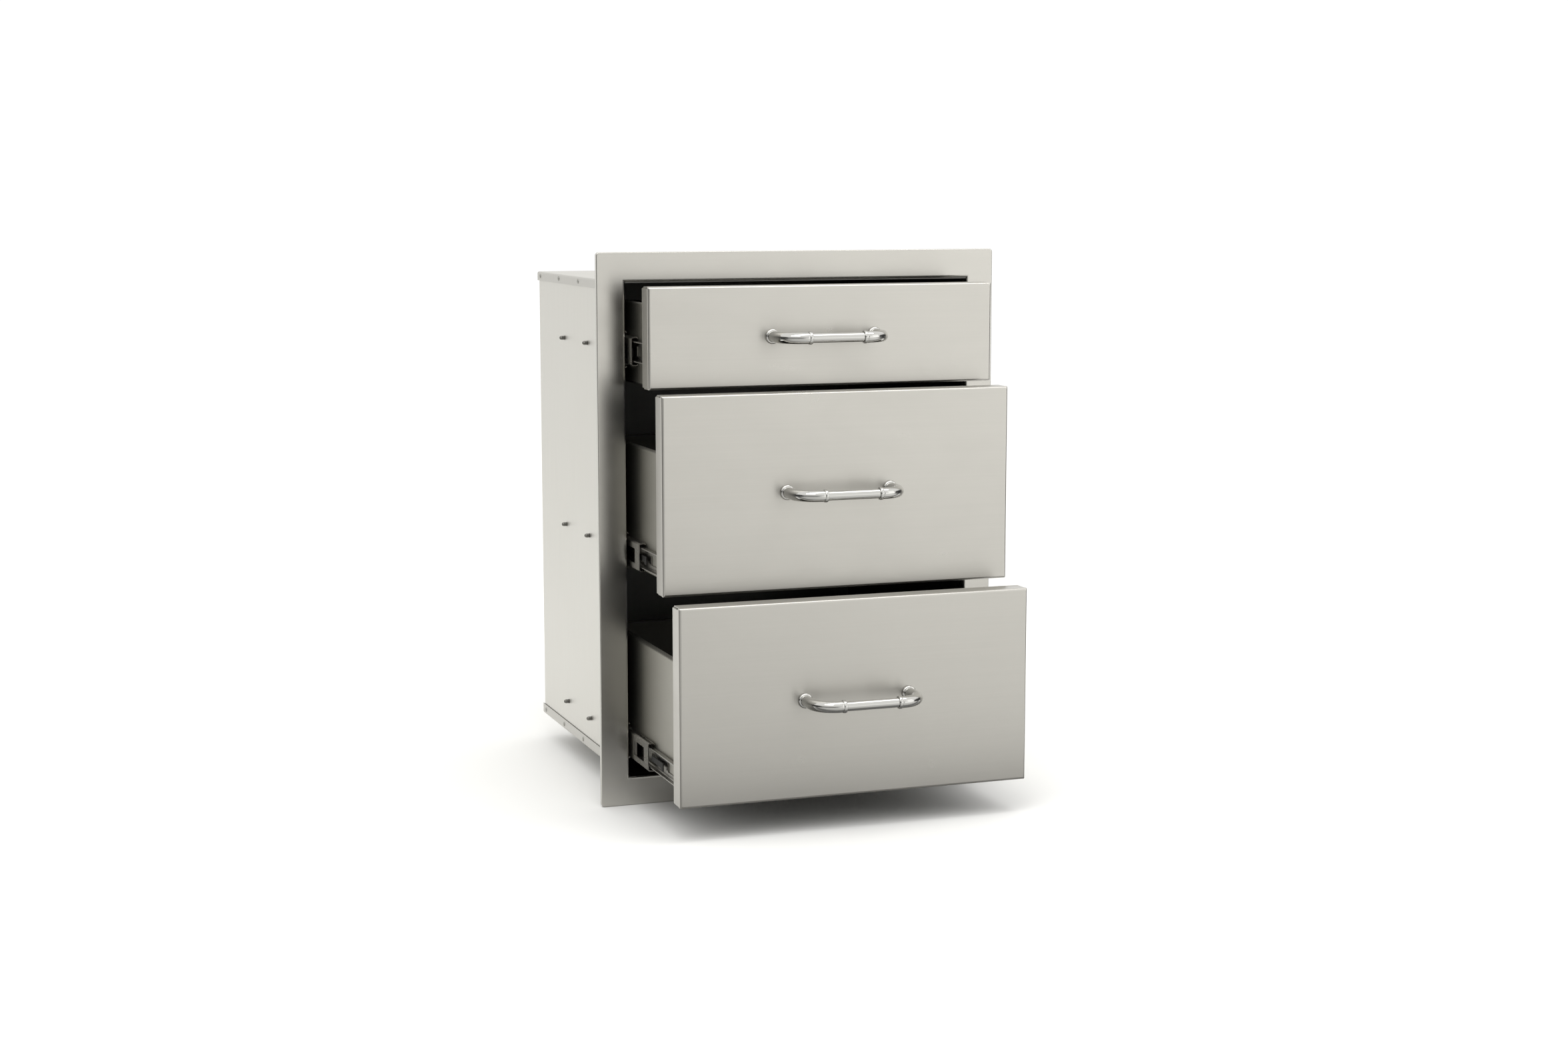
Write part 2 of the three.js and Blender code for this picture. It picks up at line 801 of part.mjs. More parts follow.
// The panel that closes the front's pan, flanged forward inside the pan's returns, with the screws
// that hold the tray's flanges to it
function frontBacking(plan) {
  const inset = frontGauge + seatGap;
  const half = frontWidth / 2 - inset;
  const top = plan.height - inset;
  const start = frontDepth - backingFlange;
  const outer = block(-half, half, start, frontDepth, inset, top);
  const hollow = block(
    -half + panelGauge,
    half - panelGauge,
    start - cutOverrun,
    frontDepth - panelGauge,
    inset + panelGauge,
    top - panelGauge,
  );
  const reach = trayGauge + 2 * seatGap + panelGauge + trayScrewReach;
  const screwSeat = trayFrontY + trayGauge + seatGap;
  const screws = [];
  for (const side of [-1, 1]) {
    for (const z of trayScrewHeights(plan)) {
      screws.push(toSolid(aimed(screw(reach), "y", -1).translate(side * trayScrewX, screwSeat, z)));
    }
  }
  const shell = toSolid(outer).subtract(toSolid(hollow));
  return toGeometry(screws.reduce((joined, fixing) => joined.add(fixing), shell));
}

// The tray: sides and bottom folded from one sheet, its back wall and its flanges at the front
function tray(plan) {
  const bottom = plan.trayRise;
  const top = bottom + plan.trayHeight;
  const rear = trayFrontY + trayLength;
  const wall = trayHalfWidth - trayGauge / 2;
  const rim = top - trayGauge / 2;
  const hem = wall - trayHemWidth;
  const half = [
    [hem, rim - trayHemDrop],
    [hem, rim, trayHemRadius],
    [wall, rim, trayHemRadius],
    [wall, bottom + trayGauge / 2, trayBendRadius],
  ];
  const other = half.map(([x, z, radius]) => [-x, z, radius]).reverse();
  const shell = alongY(sheetSection(bentPath([...half, ...other]), trayGauge), trayFrontY, rear);
  const backWall = rear - trayGauge / 2;
  const backRim = rim - trayBackDrop;
  const backPath = bentPath([
    [backWall - trayHemWidth, backRim - trayHemDrop],
    [backWall - trayHemWidth, backRim, trayHemRadius],
    [backWall, backRim, trayHemRadius],
    [backWall, bottom + trayGauge / 2],
  ]);
  const added = [shell, alongX(sheetSection(backPath, trayGauge), -wall, wall)];
  const cuts = [];
  for (const side of [-1, 1]) {
    const near = side * (trayHalfWidth - trayGauge - trayFlangeWidth);
    const x0 = Math.min(near, side * wall);
    const x1 = Math.max(near, side * wall);
    const flangeTop = rim - trayHemDrop - 2 * trayGauge;
    const flangeBottom = bottom + trayBendRadius + trayGauge;
    added.push(block(x0, x1, trayFrontY, trayFrontY + trayGauge, flangeBottom, flangeTop));
    for (const z of trayScrewHeights(plan)) {
      const from = trayFrontY - cutOverrun;
      cuts.push(bar("y", shankHoleRadius, from, trayFrontY + cutOverrun, side * trayScrewX, z));
    }
    const outside = side * (trayHalfWidth + cutOverrun);
    const inside = side * (trayHalfWidth - cutOverrun);
    for (const y of innerScrewPlaces()) {
      const low = Math.min(inside, outside);
      cuts.push(bar("x", shankHoleRadius, low, low + 2 * cutOverrun, y, plan.slideRise));
    }
  }
  return carve(added, cuts);
}

// Handle parts, in a frame on the front's face at the handle's centre

// The left elbow: a turned profile along a bent centreline, from the foot to the grip's socket,
// with the screw that holds it through the front's sheet
function handleElbow() {
  const footX = -handleSpan / 2;
  const rise = handleStandoff - handleBend;
  const arc = (handleBend * Math.PI) / 2;
  const run = handleSpan / 2 - handleBend - beadCentre + beadLength / 2;
  const total = rise + arc + run;
  const bead = total - beadLength;
  const neck = rosetteHeight + (rosetteRadius - elbowRadius);
  const stations = [
    [seatGap, rosetteRadius],
    [rosetteHeight - seatGap, rosetteRadius],
    [neck, elbowRadius],
    [rise, elbowRadius],
  ];
  for (let step = 1; step <= elbowSteps; step += 1) {
    stations.push([rise + (arc * step) / elbowSteps, elbowRadius]);
  }
  const ease = beadRadius - elbowRadius;
  stations.push([bead - ease, elbowRadius]);
  stations.push([bead, beadRadius]);
  stations.push([total - ease, beadRadius]);
  stations.push([total, elbowRadius]);
  stations.push([total, gripRadius + holeClearance]);
  stations.push([total - gripSocketDepth, gripRadius + holeClearance]);
  const rings = stations.map(([along, radius]) => {
    const turn = Math.min(Math.max((along - rise) / arc, 0), 1) * (Math.PI / 2);
    const out = Math.min(along, rise) + handleBend * Math.sin(turn);
    const over = handleBend * (1 - Math.cos(turn)) + Math.max(along - rise - arc, 0);
    const centre = new THREE.Vector3(footX + over, -out, 0);
    const across = new THREE.Vector3(Math.cos(turn), Math.sin(turn), 0);
    return Array.from({ length: roundSides }, (_, k) => {
      const angle = (2 * Math.PI * k) / roundSides;
      const point = centre.clone().addScaledVector(across, radius * Math.cos(angle));
      point.z += radius * Math.sin(angle);
      return point;
    });
  });
  const screwSeat = frontGauge + seatGap;
  const fixing = aimed(screw(screwSeat + handleScrewReach), "y", -1).translate(footX, screwSeat, 0);
  return carve([lofted(rings), fixing]);
}

function handleGrip() {
  const reach = beadCentre - beadLength / 2 + gripSocketDepth - holeClearance;
  return bar("x", gripRadius, -reach, reach, -handleStandoff, 0, roundSides);
}

// Assembly

const unit = new THREE.Group();

const cabinet = new THREE.Group();
cabinet.add(node("face_frame", faceFrame(), brushed));
const side = sidePanel();
cabinet.add(node("side_panel_right", side, plainSteel));
cabinet.add(node("side_panel_left", mirrored(side), plainSteel));
cabinet.add(node("top_panel", endPanel(topPanelZ, -topBandHeight), plainSteel));
cabinet.add(node("bottom_panel", endPanel(bottomPanelZ, bottomBandHeight), plainSteel));
cabinet.add(node("back_panel", backPanel(), plainSteel));
unit.add(cabinet);

// A pair of slide parts, left and right, at a slide's height and drawn out by a distance
function slidePair(group, name, geometry, material, height, drawn) {
  const left = node(name + "_left", geometry, material);
  left.position.set(-slideBaseX, -drawn, height);
  const right = node(name + "_right", mirrored(geometry), material);
  right.position.set(slideBaseX, -drawn, height);
  group.add(left, right);
}

const outer = outerMember();
const middle = middleMember();
const inner = innerMember();
const lever = releaseLever();
const outerCage = ballCage(outerCageU, middleHalf, outerBallU);
const innerCage = ballCage(innerCageU, innerHalf, innerBallU);
const elbow = handleElbow();

for (const plan of plans) {
  const name = plan.name;
  slidePair(cabinet, `slide_outer_${name}`, outer, zincPlate, plan.slideZ, 0);

  const carried = new THREE.Group();
  const middleDrawn = plan.open * middleTravelShare;
  slidePair(carried, `slide_middle_${name}`, middle, zincPlate, plan.slideZ, middleDrawn);
  const outerDrawn = plan.open * outerCageTravelShare;
  slidePair(carried, `ball_cage_outer_${name}`, outerCage, zincPlate, plan.slideZ, outerDrawn);
  const innerDrawn = plan.open * innerCageTravelShare;
  slidePair(carried, `ball_cage_inner_${name}`, innerCage, zincPlate, plan.slideZ, innerDrawn);
  unit.add(carried);

  const drawer = new THREE.Group();
  drawer.position.set(0, faceY - plan.open, plan.bottom);
  drawer.add(node(`drawer_front_${name}`, drawerFront(plan), brushed));
  drawer.add(node(`front_backing_${name}`, frontBacking(plan), traySteel));
  drawer.add(node(`drawer_tray_${name}`, tray(plan), traySteel));
  slidePair(drawer, `slide_inner_${name}`, inner, zincPlate, plan.slideRise, 0);
  slidePair(drawer, `release_lever_${name}`, lever, leverPlastic, plan.slideRise, 0);

  const handle = new THREE.Group();
  handle.position.z = plan.height / 2;
  handle.add(node(`handle_elbow_${name}_left`, elbow, chrome));
  handle.add(node(`handle_elbow_${name}_right`, mirrored(elbow), chrome));
  handle.add(node(`handle_grip_${name}`, handleGrip(), chrome));
  drawer.add(handle);
  unit.add(drawer);
}

export default unit;
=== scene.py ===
"""A built-in outdoor kitchen drawer unit: materials, finer folds and handles, light and camera."""
import json
import math

import bmesh
import bpy
from mathutils import Matrix, Vector

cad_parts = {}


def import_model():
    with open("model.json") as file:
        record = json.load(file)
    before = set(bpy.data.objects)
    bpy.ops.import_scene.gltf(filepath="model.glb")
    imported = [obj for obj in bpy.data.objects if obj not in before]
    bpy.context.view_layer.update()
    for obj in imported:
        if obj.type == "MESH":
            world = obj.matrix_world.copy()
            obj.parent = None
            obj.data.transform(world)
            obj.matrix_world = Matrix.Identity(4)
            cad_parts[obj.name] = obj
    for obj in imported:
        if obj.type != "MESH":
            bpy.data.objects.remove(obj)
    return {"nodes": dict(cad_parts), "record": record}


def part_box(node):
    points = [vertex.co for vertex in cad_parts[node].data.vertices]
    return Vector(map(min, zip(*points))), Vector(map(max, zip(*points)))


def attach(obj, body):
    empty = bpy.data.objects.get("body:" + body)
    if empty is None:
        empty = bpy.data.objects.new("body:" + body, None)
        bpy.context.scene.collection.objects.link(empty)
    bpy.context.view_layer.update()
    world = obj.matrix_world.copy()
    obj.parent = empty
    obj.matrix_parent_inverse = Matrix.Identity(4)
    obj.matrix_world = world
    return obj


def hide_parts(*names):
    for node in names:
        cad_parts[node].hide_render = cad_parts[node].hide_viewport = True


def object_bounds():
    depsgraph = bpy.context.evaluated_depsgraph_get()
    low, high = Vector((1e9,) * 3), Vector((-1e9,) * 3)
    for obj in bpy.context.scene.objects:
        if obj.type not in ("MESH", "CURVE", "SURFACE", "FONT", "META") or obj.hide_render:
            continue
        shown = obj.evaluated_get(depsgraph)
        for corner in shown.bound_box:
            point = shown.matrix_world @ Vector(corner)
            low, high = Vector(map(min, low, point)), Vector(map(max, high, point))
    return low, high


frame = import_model()
cad_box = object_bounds()

LEVELS = ("top", "middle", "bottom")
SIDES = ("left", "right")
SIGNS = (-1, 1)
BANDED_PANELS = ("top_panel", "bottom_panel")
MM = 0.001
# How far a cutting body runs past what it cuts, and how near two points are one
OVER = 10 * MM
WELD = 0.0001 * MM

# Drawer fronts
FRONT_GAUGE = 1 * MM
FRONT_BEND = 3 * MM
FRONT_CORNER = 1.2 * MM
SLOT_WIDTH = 2 * MM
SLOT_START = 5 * MM

# Face frame, whose lip ends at the origin's plane
FRAME_GAUGE = 1 * MM
FRAME_RIM = 35.8 * MM
FRAME_EDGE = 1.1 * MM
FRAME_CORNER = 4 * MM
FRAME_BEND = 3 * MM
FRAME_EDGE_STEPS = 5
LIP_REAR = 0.0

# Rivet heads, as radii and heights in millimetres: a dome, a groove and the mandrel's end
RIVET_DOME = [(3.2, 0), (3.16, 0.3), (2.9, 0.56), (2.4, 0.8), (1.8, 0.96), (1.3, 1.03)]
RIVET_GROOVE = [(1.18, 0.95), (1.05, 0.95)]
RIVET_MANDREL = [(0.98, 1.06), (0.6, 1.1), (0, 1.1)]

# Threads of the slide screws in millimetres, and their ends as radii and distances from the tip
THREAD_ROOT = 2.45
THREAD_CREST = 2.75
THREAD_PITCH = 0.8
THREAD_START = 0.3
THREAD_STOP = 1.9
SCREW_END = [(2.45, 1.8), (2.05, 0.95), (1.3, 0.3), (0, 0)]
TURNED_SIDES = 24
SMALLEST_RADIUS = 0.01

# Tips of one row of screws or rivets lie this near one plane, and this far apart
TIP_DEPTH = 0.1 * MM
TIP_SPACING = 5 * MM

# Handles
SPAN = 132 * MM
STANDOFF = 47 * MM
LEG_BEND = 27 * MM
ELBOW_RADIUS = 7 * MM
GRIP_RADIUS = 5.8 * MM
GRIP_CHAMFER = 0.3 * MM
SOCKET_DEPTH = 6 * MM
SOCKET_GAP = 0.3 * MM
HANDLE_SIDES = 40
LEG_STEPS = 4
BEND_STEPS = 16

# A handle's foot: a disc with a small chamfer, then a dome that ends in a collar
FOOT_RADIUS = 9.2 * MM
FOOT_HEIGHT = 3.5 * MM
FOOT_GAP = 0.3 * MM
FOOT_CHAMFER = 0.5 * MM
FOOT_SIDE = 0.9 * MM
FOOT_STEPS = 8
COLLAR = 0.2 * MM
COLLAR_END = 0.8 * MM

# A handle's bead, with a groove before it
BEAD_RADIUS = 7.8 * MM
BEAD_LENGTH = 4.2 * MM
BEAD_CENTRE = 35 * MM
BEAD_STEPS = 12
GROOVE_DEPTH = 0.25 * MM
GROOVE_END = 0.2 * MM
GROOVE_START = 1 * MM
GROOVE_BOTTOM = 0.6 * MM

# The point that the inner faces of the box look towards, and the one for all three trays, each
# with the inner faces' share of the outer tone. This is painted shade, which darkens the insides
# where little light gets in. The first point lies in front of the panels' front edges, so that
# these count as inner faces and get the painted shade too.
BOX_PAINTED_SHADE = ((0.0, -50 * MM, (cad_box[0].z + cad_box[1].z) / 2), 0.3)
TRAY_PAINTED_SHADE = ((0.0, 0.0, cad_box[0].z), 0.35)

# Colours
FRAME_COLOR = (0.485, 0.473, 0.442)
FRONT_COLOR = (0.48, 0.468, 0.437)
BOX_COLOR = (0.65, 0.64, 0.603)
BAND_COLOR = (0.53, 0.52, 0.49)
TRAY_COLOR = (0.40, 0.39, 0.35)
SLIDE_COLOR = (0.34, 0.332, 0.308)
# Painted shade: the screw ends are a darker copy of the slide's zinc
SCREW_SHADED_COLOR = (0.20, 0.195, 0.18)
RIVET_COLOR = (0.36, 0.355, 0.33)
CAGE_COLOR = (0.30, 0.29, 0.27)
CHROME_COLOR = (0.52, 0.515, 0.497)
PLASTIC_COLOR = (0.012, 0.012, 0.011)
FLOOR_COLOR = (1.0, 1.0, 0.99)
STUDIO_COLOR = (1.0, 0.995, 0.975)

# Brush lines: waves per metre along each axis
FRAME_BRUSH = (5, 5, 900)
FRONT_BRUSH = (4, 4, 800)
TRAY_BRUSH = (700, 5, 5)
ROLLING = (260, 260, 9)
EVEN = (1, 1, 1)
TALL = (1, 1, 2.5)
BROAD_SHARE = 0.22
QUARTER_TURN = 0.25
# The usual range of a noise
NOISE_LOW = 0.2
NOISE_HIGH = 0.8
BUMP_DEPTH = 0.1 * MM
# Edges sharper than this stay sharp
SHARP_ANGLE = math.radians(50)

# Camera, solved from the photograph's edges
PHOTO_WIDTH_PIXELS = 2352
FOCAL_PIXELS = 3692.4
SENSOR_WIDTH = 36
CAMERA_PLACE = (-1.053923, -2.875808, 0.760160)
CAMERA_YAW = -19.795
CAMERA_PITCH = -7.765
CAMERA_ROLL = -0.03
CAMERA_NEAR = 0.05
CAMERA_FAR = 50

# Brightness of the studio: each ramp has its start and end in view direction, and its two levels
WORLD_CEILING = 1.25
WORLD_FLAG = 0.06
WORLD_SEEN = 1.05
FRONT_ACROSS = (-0.25, 0.65, 0.28, 1.8)
FRONT_UP = (0.12, 0.35, 1.0, 0.68)
FRONT_TO_BACK = (-0.4, 0.3, 0.0, 1.0)
TO_CEILING = (0.08, 0.55, 0.0, 1.0)
FLAG_ACROSS = (0.86, 0.94, 0.0, 1.0)
FLAG_UP = (0.2, 0.5, 1.0, 0.0)

# The floor's painted shade, which only mirror-like faces see: each ramp has its start and end in
# metres, and its two levels
FLOOR_RADIUS = 7
FLOOR_SIDES = 96
FLOOR_DROP = 0.2 * MM
FLOOR_TONE = 0.9
FLOOR_SIDE_SHADE = 0.05
REFLECTED_SHADE_FAR_TO_NEAR = (-4.5, -1.2, 1.05, 0.66)
REFLECTED_SHADE_ACROSS = (-0.5, 1.0, 0.8, 1.2)
REFLECTED_SHADE_END = (-0.5, -0.25, 1.0, 0.12)
REFLECTED_SHADE_TO_PAPER = (-0.35, 0.05, 0.0, 1.0)
SIDE_SHADE_ACROSS = (1.0, 1.8, 0.0, 1.0)
SIDE_SHADE_FRONT = (-1.5, -0.8, 0.0, 1.0)
SIDE_SHADE_BACK = (0.5, 1.5, 1.0, 0.0)

LIGHT_TARGET = (0, 0, 0.3)


# Shader nodes

def new_material(name, color, rough, metal=1.0):
    """A principled material, with its node tree and its shader."""
    mat = bpy.data.materials.new(name)
    mat.use_nodes = True
    shader = mat.node_tree.nodes["Principled BSDF"]
    shader.inputs["Base Color"].default_value = (*color, 1)
    shader.inputs["Roughness"].default_value = rough
    shader.inputs["Metallic"].default_value = metal
    return mat, mat.node_tree, shader


def noise(tree, scale=1.0, detail=3.0, rough=0.6, stretch=EVEN, distort=0.0):
    """Noise in the object's own metres, stretched by a mapping."""
    coord = tree.nodes.new("ShaderNodeTexCoord")
    mapping = tree.nodes.new("ShaderNodeMapping")
    mapping.inputs["Scale"].default_value = stretch
    tex = tree.nodes.new("ShaderNodeTexNoise")
    tex.inputs["Scale"].default_value = scale
    tex.inputs["Detail"].default_value = detail
    tex.inputs["Roughness"].default_value = rough
    tex.inputs["Distortion"].default_value = distort
    tree.links.new(coord.outputs["Object"], mapping.inputs["Vector"])
    tree.links.new(mapping.outputs["Vector"], tex.inputs["Vector"])
    return tex.outputs["Fac"]


def ramp(tree, value, start, end, low, high, kind="SMOOTHSTEP"):
    """Takes a value that runs from start to end to one that runs from low to high."""
    node = tree.nodes.new("ShaderNodeMapRange")
    node.interpolation_type = kind
    for name, number in (("From Min", start), ("From Max", end), ("To Min", low), ("To Max", high)):
        node.inputs[name].default_value = number
    tree.links.new(value, node.inputs["Value"])
    return node.outputs["Result"]


def spread(tree, value, low, high):
    """Takes the usual range of a noise to one from low to high."""
    return ramp(tree, value, NOISE_LOW, NOISE_HIGH, low, high, kind="LINEAR")


def vary(tree, value, share):
    """A factor that follows a noise, a share up and down from 1."""
    return spread(tree, value, 1 - share, 1 + share)


def feed(tree, value, socket):
    """Gives a socket its value, which is a number or another socket."""
    if isinstance(value, float):
        socket.default_value = value
    else:
        tree.links.new(value, socket)


def maths(tree, kind, *values):
    """Arithmetic on values that are each a number or a socket."""
    node = tree.nodes.new("ShaderNodeMath")
    node.operation = kind
    for value, socket in zip(values, node.inputs):
        feed(tree, value, socket)
    return node.outputs[0]


def times(tree, a, b):
    """The product of two values."""
    return maths(tree, "MULTIPLY", a, b)


def mixed(tree, share, a, b):
    """A mix of two values by a share: the first one at 0, the second one at 1."""
    node = tree.nodes.new("ShaderNodeMix")
    tree.links.new(share, node.inputs["Factor"])
    feed(tree, a, node.inputs["A"])
    feed(tree, b, node.inputs["B"])
    return node.outputs["Result"]


def tint(tree, color, value):
    """The colour, scaled by a value."""
    node = tree.nodes.new("ShaderNodeVectorMath")
    node.operation = "SCALE"
    node.inputs[0].default_value = color
    tree.links.new(value, node.inputs["Scale"])
    return node.outputs[0]


def bump(tree, shader, height, strength):
    """Fine relief on the shader's normal."""
    node = tree.nodes.new("ShaderNodeBump")
    node.inputs["Strength"].default_value = strength
    node.inputs["Distance"].default_value = BUMP_DEPTH
    tree.links.new(height, node.inputs["Height"])
    tree.links.new(node.outputs["Normal"], shader.inputs["Normal"])


def inner_painted_shade(tree, middle, share):
    """Painted shade: the share on faces that look towards the middle, and 1 on all others."""
    coord = tree.nodes.new("ShaderNodeTexCoord")
    away = tree.nodes.new("ShaderNodeVectorMath")
    away.operation = "SUBTRACT"
    away.inputs[0].default_value = middle
    tree.links.new(coord.outputs["Object"], away.inputs[1])
    facing = tree.nodes.new("ShaderNodeVectorMath")
    facing.operation = "DOT_PRODUCT"
    tree.links.new(away.outputs[0], facing.inputs[0])
    tree.links.new(coord.outputs["Normal"], facing.inputs[1])
    inner = maths(tree, "GREATER_THAN", facing.outputs["Value"], 0.0)
    return mixed(tree, inner, 1.0, share)


def axes(tree, name):
    """The x, y and z of a texture coordinate."""
    coord = tree.nodes.new("ShaderNodeTexCoord")
    parts = tree.nodes.new("ShaderNodeSeparateXYZ")
    tree.links.new(coord.outputs[name], parts.inputs[0])
    return parts.outputs


def ray(tree, kind):
    """1 for rays of one kind, else 0."""
    return tree.nodes.new("ShaderNodeLightPath").outputs[kind]


# Materials

def brushed(name, color, rough, grain, blotch, wander, brush, anisotropic, inner=None):
    """Stainless sheet: fine parallel scratches, faint clouding and a roughness that wanders."""
    mat, tree, shader = new_material(name, color, rough)
    lines = noise(tree, detail=4.0, rough=0.65, stretch=brush)
    broad = noise(tree, detail=2.0, rough=0.5, stretch=[waves * BROAD_SHARE for waves in brush])
    cloud = noise(tree, scale=5.0, detail=4.0, rough=0.55, distort=0.4)
    smudge = noise(tree, scale=9.0, stretch=TALL, distort=0.6)
    tone = times(tree, vary(tree, lines, grain), vary(tree, cloud, blotch))
    tone = times(tree, tone, vary(tree, broad, grain / 2))
    # Painted shade on the faces that look inwards, where little light gets in
    if inner:
        tone = times(tree, tone, inner_painted_shade(tree, *inner))
    tree.links.new(tint(tree, color, tone), shader.inputs["Base Color"])
    tree.links.new(spread(tree, smudge, rough - wander, rough + wander), shader.inputs["Roughness"])
    stretch_highlights(tree, shader, anisotropic)
    bump(tree, shader, lines, strength=0.05)
    return mat


def stretch_highlights(tree, shader, anisotropic):
    """Stretches the highlights across the brush lines, a quarter turn from the tangent."""
    shader.inputs["Anisotropic"].default_value = anisotropic
    shader.inputs["Anisotropic Rotation"].default_value = QUARTER_TURN
    tangent = tree.nodes.new("ShaderNodeTangent")
    tangent.direction_type = "RADIAL"
    tangent.axis = "Z"
    tree.links.new(tangent.outputs["Tangent"], shader.inputs["Tangent"])


def mill(name, color, rough, blotch, pit=0.1, inner=None):
    """Plain rolled or plated steel: cloudy, with fine pitting and rolling marks."""
    mat, tree, shader = new_material(name, color, rough)
    cloud = noise(tree, scale=7.0, detail=5.0, distort=0.8)
    rolled = noise(tree, stretch=ROLLING)
    fine = noise(tree, scale=900.0, detail=2.0)
    tone = times(tree, vary(tree, cloud, blotch), vary(tree, rolled, share=0.015))
    # Painted shade on the faces that look inwards, where little light gets in
    if inner:
        tone = times(tree, tone, inner_painted_shade(tree, *inner))
    tree.links.new(tint(tree, color, tone), shader.inputs["Base Color"])
    patchy = spread(tree, cloud, low=rough - 0.05, high=rough + 0.06)
    tree.links.new(patchy, shader.inputs["Roughness"])
    bump(tree, shader, fine, pit)
    return mat


def polished():
    """Chrome plate, a little cloudy."""
    mat, tree, shader = new_material("chrome", CHROME_COLOR, rough=0.05)
    haze = spread(tree, noise(tree, scale=60.0), low=0.035, high=0.085)
    cloud = spread(tree, noise(tree, scale=25.0), low=0.97, high=1.02)
    tree.links.new(haze, shader.inputs["Roughness"])
    tree.links.new(tint(tree, CHROME_COLOR, cloud), shader.inputs["Base Color"])
    return mat


def moulded():
    """Black plastic with a fine grain."""
    mat, tree, shader = new_material("lever_plastic", PLASTIC_COLOR, rough=0.6, metal=0.0)
    shader.inputs["Specular IOR Level"].default_value = 0.25
    fine = noise(tree, scale=1600.0, detail=2.0, rough=0.5)
    tree.links.new(spread(tree, fine, low=0.5, high=0.7), shader.inputs["Roughness"])
    tree.links.new(tint(tree, PLASTIC_COLOR, vary(tree, fine, share=0.2)), shader.inputs["Base Color"])
    bump(tree, shader, fine, strength=0.2)
    return mat


frame_steel = brushed(
    "frame_steel", FRAME_COLOR, rough=0.25, grain=0.02, blotch=0.015, wander=0.03,
    brush=FRAME_BRUSH, anisotropic=0.6,
)
front_steel = brushed(
    "front_steel", FRONT_COLOR, rough=0.3, grain=0.016, blotch=0.015, wander=0.04,
    brush=FRONT_BRUSH, anisotropic=0.6,
)
tray_steel = brushed(
    "tray_steel", TRAY_COLOR, rough=0.46, grain=0.04, blotch=0.05, wander=0.03,
    brush=TRAY_BRUSH, anisotropic=0.4, inner=TRAY_PAINTED_SHADE,
)
box_steel = mill("box_steel", BOX_COLOR, rough=0.44, blotch=0.03, inner=BOX_PAINTED_SHADE)
band_steel = mill("box_steel_bands", BAND_COLOR, rough=0.42, blotch=0.04, inner=BOX_PAINTED_SHADE)
slide_zinc = mill("slide_zinc", SLIDE_COLOR, rough=0.27, blotch=0.08, pit=0.12)
# Painted shade: a darker copy of the slide's zinc for the screw ends
shaded_screw_zinc = mill("slide_zinc_screws", SCREW_SHADED_COLOR, rough=0.4, blotch=0.1)
rivet_zinc = mill("slide_zinc_rivets", RIVET_COLOR, rough=0.4, blotch=0.08)
cage_steel = mill("cage_steel", CAGE_COLOR, rough=0.36, blotch=0.08)
chrome = polished()
lever_plastic = moulded()
MATERIALS = {
    "frame_steel": frame_steel,
    "front_steel": front_steel,
    "box_steel": box_steel,
    "tray_steel": tray_steel,
    "slide_zinc": slide_zinc,
    "cage_steel": cage_steel,
    "chrome": chrome,
    "lever_plastic": lever_plastic,
}


# Smoothing

def smooth_group():
    """Smooth shading that keeps sharp edges."""
    tree = bpy.data.node_groups.new("smooth_bends", "GeometryNodeTree")
    tree.interface.new_socket("Geometry", in_out="INPUT", socket_type="NodeSocketGeometry")
    tree.interface.new_socket("Geometry", in_out="OUTPUT", socket_type="NodeSocketGeometry")
    entry = tree.nodes.new("NodeGroupInput")
    leave = tree.nodes.new("NodeGroupOutput")
    faces = tree.nodes.new("GeometryNodeSetShadeSmooth")
    edges = tree.nodes.new("GeometryNodeSetShadeSmooth")
    edges.domain = "EDGE"
    edges.inputs["Shade Smooth"].default_value = False
    angle = tree.nodes.new("GeometryNodeInputMeshEdgeAngle")
    sharp = tree.nodes.new("FunctionNodeCompare")
    sharp.data_type = "FLOAT"
    sharp.operation = "GREATER_THAN"
    sharp.inputs["B"].default_value = SHARP_ANGLE
    links = tree.links
    links.new(entry.outputs["Geometry"], faces.inputs["Geometry"])
    links.new(faces.outputs["Geometry"], edges.inputs["Geometry"])
    links.new(angle.outputs["Unsigned Angle"], sharp.inputs["A"])
    links.new(sharp.outputs["Result"], edges.inputs["Selection"])
    links.new(edges.outputs["Geometry"], leave.inputs["Geometry"])
    return tree


SMOOTH = smooth_group()


def soften(obj):
    """Shades bends smooth and flat faces flat."""
    modifier = obj.modifiers.new("smooth_bends", "NODES")
    modifier.node_group = SMOOTH
    weighted = obj.modifiers.new("flat_faces", "WEIGHTED_NORMAL")
    weighted.keep_sharp = True


def dress_nodes():
    """Gives each CAD piece the material of its slot, and the banded panels their own."""
    slots = {row["node"]: row["material_slot"] for row in frame["record"]["subparts"]}
    for name, obj in frame["nodes"].items():
        obj.data.materials.clear()
        obj.data.materials.append(band_steel if name in BANDED_PANELS else MATERIALS[slots[name]])
        soften(obj)


# Meshes

def mesh_object(name, bm, material):
    """An object in the scene from a mesh under construction."""
    bmesh.ops.remove_doubles(bm, verts=bm.verts, dist=WELD)
    bmesh.ops.recalc_face_normals(bm, faces=bm.faces)
    mesh = bpy.data.meshes.new(name)
    bm.to_mesh(mesh)
    bm.free()
    mesh.materials.append(material)
    obj = bpy.data.objects.new(name, mesh)
    bpy.context.scene.collection.objects.link(obj)
    return obj


